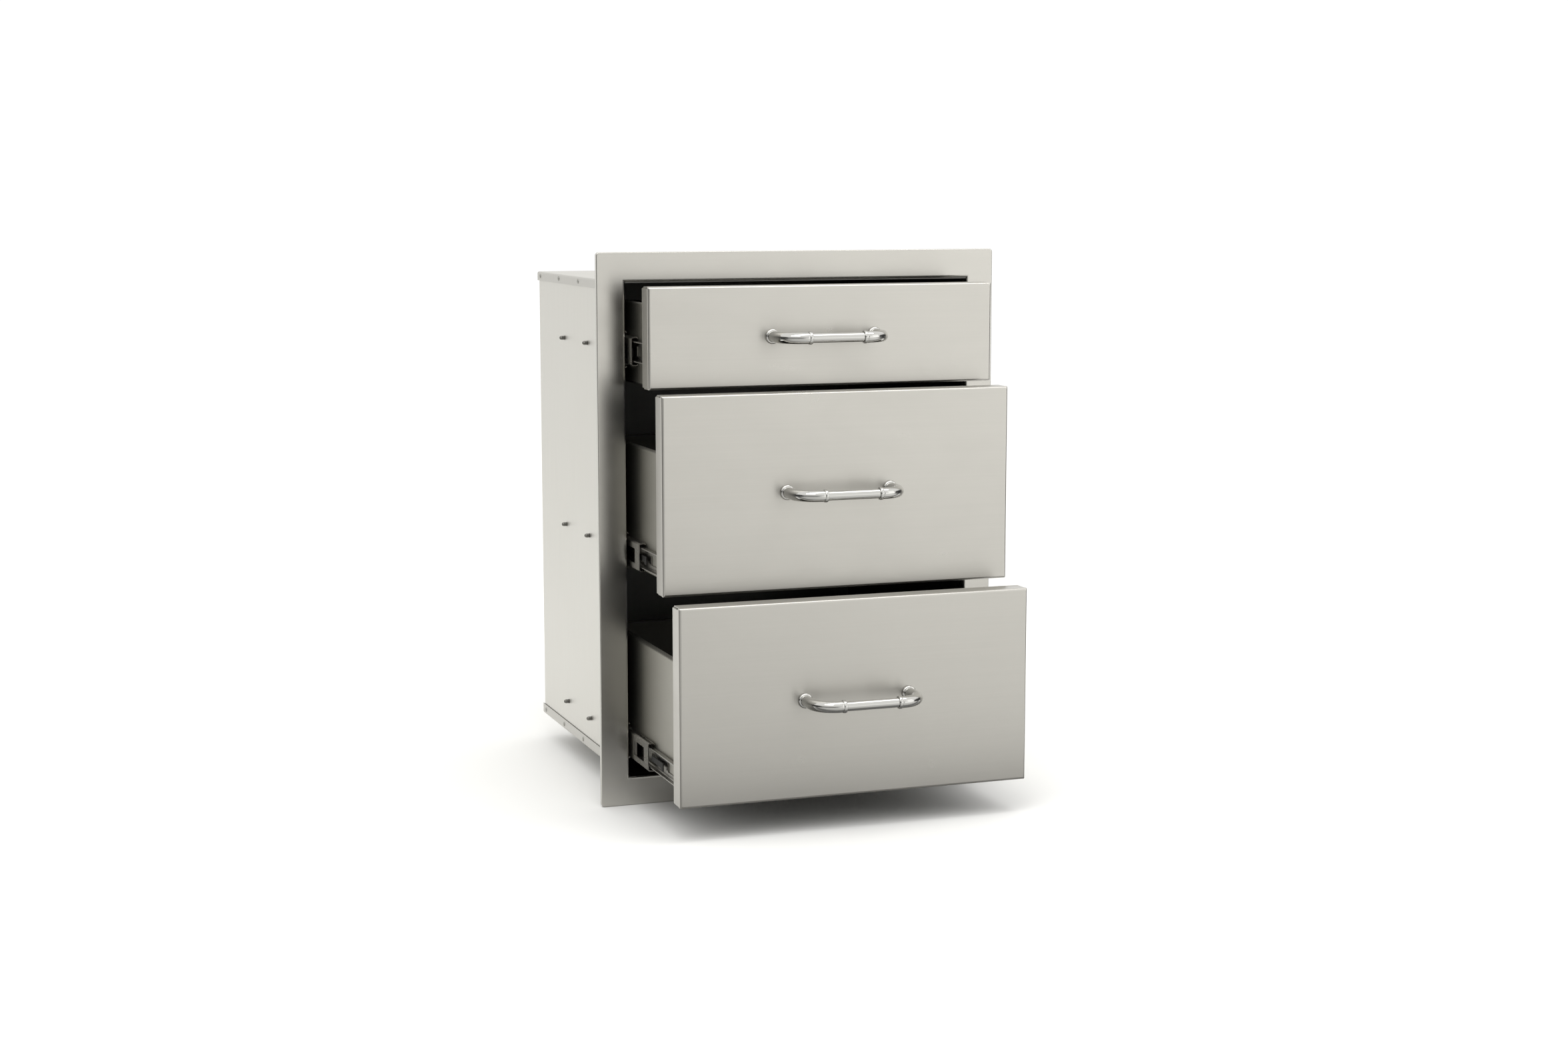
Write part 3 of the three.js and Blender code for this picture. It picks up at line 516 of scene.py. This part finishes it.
def loft(bm, rings, closed=True):
    """Faces between rings of equal count and, if closed, a face at each end."""
    loops = [[bm.verts.new(p) for p in ring] for ring in rings]
    count = len(loops[0])
    for a, b in zip(loops, loops[1:]):
        for k in range(count):
            n = (k + 1) % count
            bm.faces.new((a[k], a[n], b[n], b[k]))
    if closed:
        bm.faces.new(loops[0][::-1])
        bm.faces.new(loops[-1])


def circle(sides):
    """The sine and cosine of each corner's angle."""
    turns = [2 * math.pi * k / sides for k in range(sides)]
    return [(math.sin(turn), math.cos(turn)) for turn in turns]


def rounded_ring(half, bottom, top, radius, y, steps=4):
    """A rectangle with rounded corners, facing along Y."""
    ring = []
    for quarter, (sx, sz) in enumerate([(1, 1), (-1, 1), (-1, -1), (1, -1)]):
        cx = sx * (half - radius)
        cz = top - radius if sz > 0 else bottom + radius
        for step in range(steps + 1):
            angle = (quarter + step / steps) * math.pi / 2
            ring.append((cx + radius * math.cos(angle), y, cz + radius * math.sin(angle)))
    return ring


def bent_block(half, bottom, top, corner, edge, y0, y1, steps=6):
    """A block with rounded corners, and with its front edges bent round."""
    bm = bmesh.new()
    rings = []
    for step in range(steps + 1):
        angle = step / steps * math.pi / 2
        inset = edge * (1 - math.sin(angle))
        y = y0 + edge * (1 - math.cos(angle))
        rings.append(rounded_ring(half - inset, bottom + inset, top - inset, corner, y))
    rings.append(rounded_ring(half, bottom, top, corner, y1))
    loft(bm, rings)
    return bm


def box_mesh(low, high):
    """A plain block between two corners."""
    bm = bmesh.new()
    size = [b - a for a, b in zip(low, high)]
    centre = [(a + b) / 2 for a, b in zip(low, high)]
    bmesh.ops.create_cube(bm, size=1.0, matrix=Matrix.Translation(centre) @ Matrix.Diagonal((*size, 1)))
    return bm


def cut(obj, cutters):
    """Cuts closed meshes from obj, and leaves the result as plain geometry."""
    made = []
    for i, bm in enumerate(cutters):
        cutter = mesh_object(f"cutter_{i}", bm, obj.data.materials[0])
        made.append(cutter)
        modifier = obj.modifiers.new(f"cut_{i}", "BOOLEAN")
        modifier.operation = "DIFFERENCE"
        modifier.solver = "EXACT"
        modifier.object = cutter
    graph = bpy.context.evaluated_depsgraph_get()
    result = bpy.data.meshes.new_from_object(obj.evaluated_get(graph))
    obj.modifiers.clear()
    obj.data = result
    for cutter in made:
        bpy.data.objects.remove(cutter)
    soften(obj)


def swap(obj, node):
    """Lets an object stand for a CAD piece, and move with its body."""
    body = next(b for b, nodes in frame["record"]["behaviour"]["bodies"].items() if node in nodes)
    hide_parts(node)
    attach(obj, body)


def fixing(name, bm, material):
    """Makes fixings of the box, which stay with the cabinet."""
    obj = mesh_object(name, bm, material)
    soften(obj)
    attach(obj, "cabinet")


# Drawer fronts

def front_pan(level):
    """The drawer's front: a folded pan with real bend radii and open corner reliefs."""
    node = f"drawer_front_{level}"
    low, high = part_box(node)
    solid = bent_block(high.x, low.z, high.z, FRONT_CORNER, FRONT_BEND, low.y, high.y)
    obj = mesh_object(f"front_{level}", solid, front_steel)
    hollow = bent_block(
        high.x - FRONT_GAUGE, low.z + FRONT_GAUGE, high.z - FRONT_GAUGE,
        FRONT_CORNER / 2, FRONT_BEND - FRONT_GAUGE / 2, low.y + FRONT_GAUGE, high.y + OVER,
    )
    start = low.y + SLOT_START
    rear = high.y + OVER
    cutters = [hollow]
    for sign in SIGNS:
        x0, x1 = sorted((sign * (high.x - SLOT_WIDTH), sign * (high.x + OVER)))
        cutters.append(box_mesh((x0, start, low.z - OVER), (x1, rear, low.z + SLOT_WIDTH)))
        cutters.append(box_mesh((x0, start, high.z - SLOT_WIDTH), (x1, rear, high.z + OVER)))
    cut(obj, cutters)
    swap(obj, node)


# Face frame

def face_frame():
    """The flange, folded back at its rim and round the opening."""
    low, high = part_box("face_frame")
    half = high.x
    solid = bent_block(
        half, low.z, high.z, FRAME_CORNER, FRAME_EDGE, low.y, LIP_REAR, FRAME_EDGE_STEPS,
    )
    obj = mesh_object("frame_pan", solid, frame_steel)
    hollow = bent_block(
        half - FRAME_GAUGE, low.z + FRAME_GAUGE, high.z - FRAME_GAUGE,
        FRAME_CORNER / 2, FRAME_EDGE - FRAME_GAUGE / 2,
        low.y + FRAME_GAUGE, LIP_REAR + OVER, FRAME_EDGE_STEPS,
    )
    flat = FRAME_RIM - FRAME_BEND
    opening = box_mesh(
        (flat - half, low.y - OVER, low.z + flat),
        (half - flat, 2 * OVER, high.z - flat),
    )
    cut(obj, [hollow, opening])
    back = folded_return(half - FRAME_RIM, low.z + FRAME_RIM, high.z - FRAME_RIM, low.y, high.y)
    soften(back)
    back.parent = obj
    swap(obj, "face_frame")


def folded_return(half, bottom, top, face, deep, steps=6):
    """The sheet that turns in from the flange's face and runs back along the opening's four sides."""
    turns = [step / steps * math.pi / 2 for step in range(steps + 1)]
    bend = FRAME_BEND
    tight = FRAME_BEND - FRAME_GAUGE
    outer = [(bend * (1 - math.sin(a)), face + bend * (1 - math.cos(a))) for a in turns]
    inner = [(bend - tight * math.cos(a), face + bend - tight * math.sin(a)) for a in turns]
    profile = outer + [(0.0, deep), (FRAME_GAUGE, deep)] + inner
    rings = []
    for out, y in profile + profile[:1]:
        x = half + out
        a = bottom - out
        b = top + out
        rings.append([(x, y, a), (x, y, b), (-x, y, b), (-x, y, a)])
    bm = bmesh.new()
    loft(bm, rings, closed=False)
    return mesh_object("frame_return", bm, frame_steel)


# Rivet heads and screw ends

def tips_along(node, axis, sign):
    """The tips that stand furthest out from a node along one axis."""
    points = [v.co for v in frame["nodes"][node].data.vertices]
    far = max(sign * p[axis] for p in points)
    found = []
    for p in points:
        if sign * p[axis] > far - TIP_DEPTH and all((p - q).length > TIP_SPACING for q in found):
            found.append(p.copy())
    return found


def turned(bm, tip, axis, sign, profile):
    """A turned form whose end is at tip. The profile gives radii and heights in mm, from its foot."""
    reach = profile[-1][1]
    a, b = [k for k in range(3) if k != axis]
    rings = []
    for radius, height in profile:
        ring = []
        for sine, cosine in circle(TURNED_SIDES):
            p = tip.copy()
            p[axis] += sign * (height - reach) * MM
            p[a] += max(radius, SMALLEST_RADIUS) * MM * cosine
            p[b] += max(radius, SMALLEST_RADIUS) * MM * sine
            ring.append(p)
        rings.append(ring)
    loft(bm, rings)


def rivets(node, axis, sign):
    """The rivet heads on one face of a panel."""
    bm = bmesh.new()
    for tip in tips_along(node, axis, sign):
        turned(bm, tip, axis, sign, RIVET_DOME + RIVET_GROOVE + RIVET_MANDREL)
    end = "high" if sign > 0 else "low"
    fixing(f"rivets_{node}_{'xyz'[axis]}_{end}", bm, rivet_zinc)


def screw_ends(level, side, sign):
    """The threaded ends of the slide screws, outside the box."""
    tips = tips_along(f"slide_outer_{level}_{side}", 0, sign)
    low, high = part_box(f"side_panel_{side}")
    face = max(abs(low.x), abs(high.x))
    reach = (abs(tips[0].x) - face) / MM
    thread = [(THREAD_ROOT, 0)]
    height = THREAD_START
    while height + THREAD_PITCH < reach - THREAD_STOP:
        thread.append((THREAD_ROOT, height))
        thread.append((THREAD_CREST, height + THREAD_PITCH / 2))
        thread.append((THREAD_ROOT, height + THREAD_PITCH))
        height += THREAD_PITCH
    thread += [(radius, reach - back) for radius, back in SCREW_END]
    bm = bmesh.new()
    for tip in tips:
        turned(bm, tip, 0, sign, thread)
    fixing(f"screw_ends_{level}_{side}", bm, shaded_screw_zinc)


def fixings():
    """All rivet heads and screw ends outside the box."""
    for panel in BANDED_PANELS:
        for sign in SIGNS:
            rivets(panel, 0, sign)
        rivets(panel, 1, 1)
    rivets("back_panel", 1, 1)
    for level in LEVELS:
        for side, sign in zip(SIDES, SIGNS):
            screw_ends(level, side, sign)


# Handles

def foot_stations():
    """The foot, as distances along the elbow and radii."""
    stations = [(FOOT_GAP, FOOT_RADIUS - FOOT_CHAMFER), (FOOT_CHAMFER, FOOT_RADIUS)]
    for k in range(FOOT_STEPS + 1):
        angle = k / FOOT_STEPS * math.pi / 2
        along = FOOT_SIDE + (FOOT_HEIGHT - FOOT_SIDE) * math.sin(angle)
        fall = (FOOT_RADIUS - ELBOW_RADIUS - COLLAR) * (1 - math.cos(angle))
        stations.append((along, FOOT_RADIUS - fall))
    stations.append((FOOT_HEIGHT + COLLAR, ELBOW_RADIUS + COLLAR / 2))
    stations.append((FOOT_HEIGHT + COLLAR_END, ELBOW_RADIUS))
    return stations


def bead_stations(bead):
    """The groove and the bead that starts at a distance along the elbow."""
    neck = ELBOW_RADIUS - GROOVE_END
    stations = [
        (bead - GROOVE_START, ELBOW_RADIUS),
        (bead - GROOVE_BOTTOM, ELBOW_RADIUS - GROOVE_DEPTH),
    ]
    for k in range(BEAD_STEPS + 1):
        angle = k / BEAD_STEPS * math.pi
        along = bead + BEAD_LENGTH * (1 - math.cos(angle)) / 2
        stations.append((along, neck + (BEAD_RADIUS - neck) * math.sqrt(math.sin(angle))))
    return stations


def elbow_stations(rise, arc):
    """The elbow from foot to socket: a foot, a straight leg, a bend, a groove and a bead."""
    total = rise + arc + SPAN / 2 - LEG_BEND - BEAD_CENTRE + BEAD_LENGTH / 2
    leg = [rise * k / LEG_STEPS for k in range(1, LEG_STEPS + 1)]
    bend = [rise + arc * k / BEND_STEPS for k in range(1, BEND_STEPS + 1)]
    tube = [along for along in leg if along > FOOT_HEIGHT + COLLAR_END] + bend
    stations = foot_stations() + [(along, ELBOW_RADIUS) for along in tube]
    stations += bead_stations(total - BEAD_LENGTH)
    bore = GRIP_RADIUS + SOCKET_GAP
    return stations + [(total, bore), (total - SOCKET_DEPTH, bore)]


def elbow(level, side, sign, face, z):
    """One end of a handle, swept along its leg and bend."""
    rise = STANDOFF - LEG_BEND
    arc = LEG_BEND * math.pi / 2
    rings = []
    for along, radius in elbow_stations(rise, arc):
        turn = min(max((along - rise) / arc, 0), 1) * math.pi / 2
        out = min(along, rise) + LEG_BEND * math.sin(turn)
        over = LEG_BEND * (1 - math.cos(turn)) + max(along - rise - arc, 0)
        centre = Vector((over - SPAN / 2, -out, 0))
        across = Vector((math.cos(turn), math.sin(turn), 0))
        ring = []
        for sine, cosine in circle(HANDLE_SIDES):
            p = centre + across * radius * cosine + Vector((0, 0, radius * sine))
            ring.append((-sign * p.x, face + p.y, z + p.z))
        rings.append(ring)
    bm = bmesh.new()
    loft(bm, rings)
    obj = mesh_object(f"elbow_{level}_{side}", bm, chrome)
    soften(obj)
    swap(obj, f"handle_elbow_{level}_{side}")


def grip(level, face, z):
    """The thinner tube between a handle's elbows."""
    reach = BEAD_CENTRE - BEAD_LENGTH / 2 + SOCKET_DEPTH - SOCKET_GAP
    thin = GRIP_RADIUS - GRIP_CHAMFER
    inset = reach - GRIP_CHAMFER
    y = face - STANDOFF
    turns = circle(HANDLE_SIDES)
    rings = []
    for x, radius in ((-reach, thin), (-inset, GRIP_RADIUS), (inset, GRIP_RADIUS), (reach, thin)):
        rings.append([(x, y + radius * cosine, z + radius * sine) for sine, cosine in turns])
    bm = bmesh.new()
    loft(bm, rings)
    obj = mesh_object(f"grip_{level}", bm, chrome)
    soften(obj)
    swap(obj, f"handle_grip_{level}")


def handle(level):
    """The two elbows and the grip, centred on the drawer's front."""
    low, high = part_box(f"drawer_front_{level}")
    z = (low.z + high.z) / 2
    for side, sign in zip(SIDES, SIGNS):
        elbow(level, side, sign, low.y, z)
    grip(level, low.y, z)


# Camera, light and floor

def camera():
    """The camera of the photograph."""
    data = bpy.data.cameras.new("camera")
    data.sensor_fit = "HORIZONTAL"
    data.sensor_width = SENSOR_WIDTH
    data.lens = FOCAL_PIXELS / PHOTO_WIDTH_PIXELS * SENSOR_WIDTH
    data.clip_start = CAMERA_NEAR
    data.clip_end = CAMERA_FAR
    obj = bpy.data.objects.new("camera", data)
    bpy.context.scene.collection.objects.link(obj)
    obj.location = CAMERA_PLACE
    yaw = Matrix.Rotation(math.radians(CAMERA_YAW), 3, "Z")
    pitch = Matrix.Rotation(math.pi / 2 + math.radians(CAMERA_PITCH), 3, "X")
    roll = Matrix.Rotation(math.radians(CAMERA_ROLL), 3, "Z")
    obj.rotation_euler = (yaw @ pitch @ roll).to_euler()
    bpy.context.scene.camera = obj


def area(name, place, size, power):
    """A rectangular softbox that faces the unit."""
    data = bpy.data.lights.new(name, "AREA")
    data.shape = "RECTANGLE"
    data.size, data.size_y = size
    data.energy = power
    obj = bpy.data.objects.new(name, data)
    obj.location = place
    obj.rotation_euler = (Vector(LIGHT_TARGET) - Vector(place)).to_track_quat("-Z", "Y").to_euler()
    bpy.context.scene.collection.objects.link(obj)


def world():
    """A studio: white above and behind, dimmer in front at the left, with a dark flag on each side."""
    made = bpy.data.worlds.new("studio")
    made.use_nodes = True
    tree = made.node_tree
    x, y, z = axes(tree, "Generated")
    front = times(tree, ramp(tree, x, *FRONT_ACROSS), ramp(tree, z, *FRONT_UP))
    level = mixed(tree, ramp(tree, y, *FRONT_TO_BACK), front, 1.0)
    level = mixed(tree, ramp(tree, z, *TO_CEILING), level, WORLD_CEILING)
    wide = maths(tree, "ABSOLUTE", x)
    flags = times(tree, ramp(tree, wide, *FLAG_ACROSS), ramp(tree, z, *FLAG_UP))
    level = mixed(tree, flags, level, WORLD_FLAG)
    studio = tree.nodes["Background"]
    studio.inputs["Color"].default_value = (*STUDIO_COLOR, 1)
    tree.links.new(level, studio.inputs["Strength"])
    # The camera itself sees plain white
    plain = tree.nodes.new("ShaderNodeBackground")
    plain.inputs["Color"].default_value = (1, 1, 1, 1)
    plain.inputs["Strength"].default_value = WORLD_SEEN
    mix = tree.nodes.new("ShaderNodeMixShader")
    tree.links.new(ray(tree, "Is Camera Ray"), mix.inputs["Fac"])
    tree.links.new(studio.outputs[0], mix.inputs[1])
    tree.links.new(plain.outputs[0], mix.inputs[2])
    tree.links.new(mix.outputs[0], tree.nodes["World Output"].inputs["Surface"])
    bpy.context.scene.world = made


def floor():
    """Plain pale paper. Mirror-like faces see it dimmer in front and at each side: painted shade, which
    shows only in their reflections.
    """
    mat, tree, shader = new_material("floor", FLOOR_COLOR, rough=0.9, metal=0.0)
    x, y, _ = axes(tree, "Object")
    # Painted shade in front of the unit, seen only in reflections
    reflected_shade = times(tree, ramp(tree, y, *REFLECTED_SHADE_FAR_TO_NEAR), ramp(tree, x, *REFLECTED_SHADE_ACROSS))
    reflected_shade = times(tree, reflected_shade, ramp(tree, y, *REFLECTED_SHADE_END))
    paper = mixed(tree, ramp(tree, y, *REFLECTED_SHADE_TO_PAPER), reflected_shade, FLOOR_TONE)
    wide = maths(tree, "ABSOLUTE", x)
    flags = times(tree, ramp(tree, wide, *SIDE_SHADE_ACROSS), ramp(tree, y, *SIDE_SHADE_FRONT))
    flags = times(tree, flags, ramp(tree, y, *SIDE_SHADE_BACK))
    mirrored = mixed(tree, flags, paper, FLOOR_SIDE_SHADE)
    # Painted shade for glossy rays only; all other rays see plain pale paper
    pale = mixed(tree, ray(tree, "Is Glossy Ray"), FLOOR_TONE, mirrored)
    tree.links.new(tint(tree, FLOOR_COLOR, pale), shader.inputs["Base Color"])
    place = Matrix.Translation((0, 0, cad_box[0].z - FLOOR_DROP))
    bm = bmesh.new()
    bmesh.ops.create_circle(bm, cap_ends=True, segments=FLOOR_SIDES, radius=FLOOR_RADIUS, matrix=place)
    mesh_object("floor", bm, mat)


dress_nodes()
for level in LEVELS:
    front_pan(level)
face_frame()
fixings()
for level in LEVELS:
    handle(level)
camera()
world()
floor()
area("key", place=(-1.2, -1.6, 2.6), size=(1.6, 1.0), power=10)
area("right", place=(2.2, -2.0, 1.6), size=(1.4, 1.4), power=3)
area("overhead", place=(0.2, -0.7, 2.4), size=(2.0, 0.7), power=14)
bpy.context.scene.view_settings.view_transform = "Standard"
bpy.context.scene.view_settings.look = "None"
